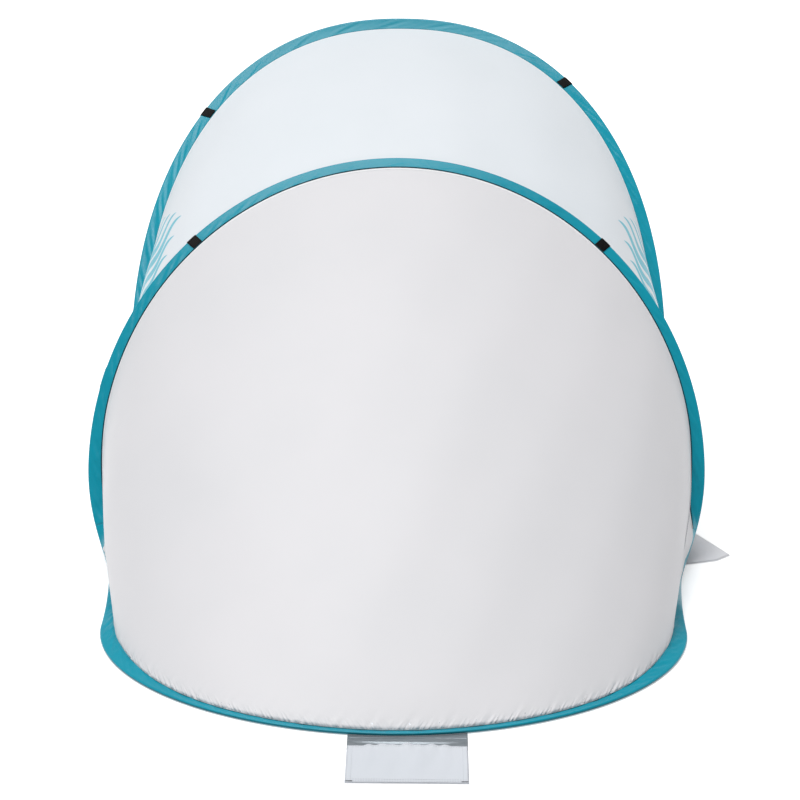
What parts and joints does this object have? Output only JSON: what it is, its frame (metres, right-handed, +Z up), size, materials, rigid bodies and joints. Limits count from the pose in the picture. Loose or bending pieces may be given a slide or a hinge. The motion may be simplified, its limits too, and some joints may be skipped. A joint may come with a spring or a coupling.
{
  "type": "beach tent",
  "caption": "Low pop-up beach tent: two sprung wire hoops in fabric sleeves, a sloping roof, a bulging rear wall, a floor sheet, sand pockets and an open front.",
  "frame": {"origin": "middle of the floor, on the ground under the floor sheet", "axes": "+Y towards the open entrance, +X to the right seen from behind, +Z up"},
  "size_m": [1.249, 2.1801, 0.9011],
  "materials": {
    "spring_steel": "bare spring steel wire",
    "teal_polyester": "teal plain-weave polyester",
    "white_polyester": "white plain-weave polyester with a printed wave pattern at its sides",
    "coated_polyester": "pale grey polyester with a silvery coated inside",
    "floor_sheet": "grey woven polyethylene floor sheet",
    "black_webbing": "black polypropylene webbing"
  },
  "bodies": {
    "root": {"front_hoop_floor_wire": "spring_steel", "front_hoop_floor_sleeve": "teal_polyester", "front_hoop_waist_wire_right": "spring_steel", "front_hoop_waist_sleeve_right": "teal_polyester", "front_hoop_waist_wire_left": "spring_steel", "front_hoop_waist_sleeve_left": "teal_polyester", "corner_gusset_right": "white_polyester", "corner_gusset_left": "white_polyester", "floor_sheet_front": "floor_sheet", "side_pocket_tab": "coated_polyester"},
    "front_arch": {"front_hoop_ferrule": "spring_steel", "front_hoop_arch_sleeve": "teal_polyester", "front_hoop_arch_wire_right": "spring_steel", "front_hoop_band_right": "black_webbing", "front_hoop_arch_wire_left": "spring_steel", "front_hoop_band_left": "black_webbing", "roof_panel": "white_polyester"},
    "rear_arch": {"rear_hoop_ferrule": "spring_steel", "rear_hoop_arch_sleeve": "teal_polyester", "rear_hoop_arch_wire_right": "spring_steel", "rear_hoop_band_right": "black_webbing", "rear_hoop_arch_wire_left": "spring_steel", "rear_hoop_band_left": "black_webbing", "rear_panel": "coated_polyester", "rear_side_panel_right": "coated_polyester", "rear_side_panel_left": "coated_polyester"},
    "rear_floor": {"rear_hoop_floor_wire": "spring_steel", "rear_hoop_floor_sleeve": "teal_polyester", "rear_hoop_waist_wire_right": "spring_steel", "rear_hoop_waist_sleeve_right": "teal_polyester", "rear_hoop_waist_wire_left": "spring_steel", "rear_hoop_waist_sleeve_left": "teal_polyester", "floor_sheet_rear": "floor_sheet", "rear_pocket_tab": "coated_polyester"},
    "rear_pocket": {"rear_pocket_base": "coated_polyester", "rear_pocket_pouch": "coated_polyester"},
    "side_pocket": {"side_pocket_base": "coated_polyester", "side_pocket_cover": "coated_polyester"}
  },
  "joints": [
    {"name": "front_arch_fold", "type": "hinge", "parent": "root", "child": "front_arch", "pos_m": [0, -0.213, 0.003], "axis": [-1, 0, 0], "range_deg": [0, 35.5], "stiffness_Nm_per_rad": 8, "springref_deg": -34.38, "deforming": ["front_hoop_waist_wire_right", "front_hoop_waist_wire_left", "front_hoop_waist_sleeve_right", "front_hoop_waist_sleeve_left", "corner_gusset_right", "corner_gusset_left"]},
    {"name": "rear_arch_fold", "type": "hinge", "parent": "front_arch", "child": "rear_arch", "pos_m": [0, -0.213, 0.003], "axis": [-1, 0, 0], "range_deg": [0, 12], "stiffness_Nm_per_rad": 4, "springref_deg": -22.92, "deforming": ["roof_panel"]},
    {"name": "rear_floor_fold", "type": "hinge", "parent": "rear_arch", "child": "rear_floor", "pos_m": [0, -0.213, 0.003], "axis": [-1, 0, 0], "range_deg": [0, 111], "stiffness_Nm_per_rad": 3, "springref_deg": -34.38, "deforming": ["rear_hoop_waist_wire_right", "rear_hoop_waist_wire_left", "rear_hoop_waist_sleeve_right", "rear_hoop_waist_sleeve_left", "rear_panel", "rear_side_panel_right", "rear_side_panel_left"]},
    {"name": "rear_pocket_flap", "type": "hinge", "parent": "rear_floor", "child": "rear_pocket", "pos_m": [0, -1.008, 0.0008], "axis": [-1, 0, 0], "range_deg": [0, 65]},
    {"name": "side_pocket_flap", "type": "hinge", "parent": "root", "child": "side_pocket", "pos_m": [0.5563, -0.016, 0.0008], "axis": [0, -1, 0], "range_deg": [0, 30]}
  ]
}
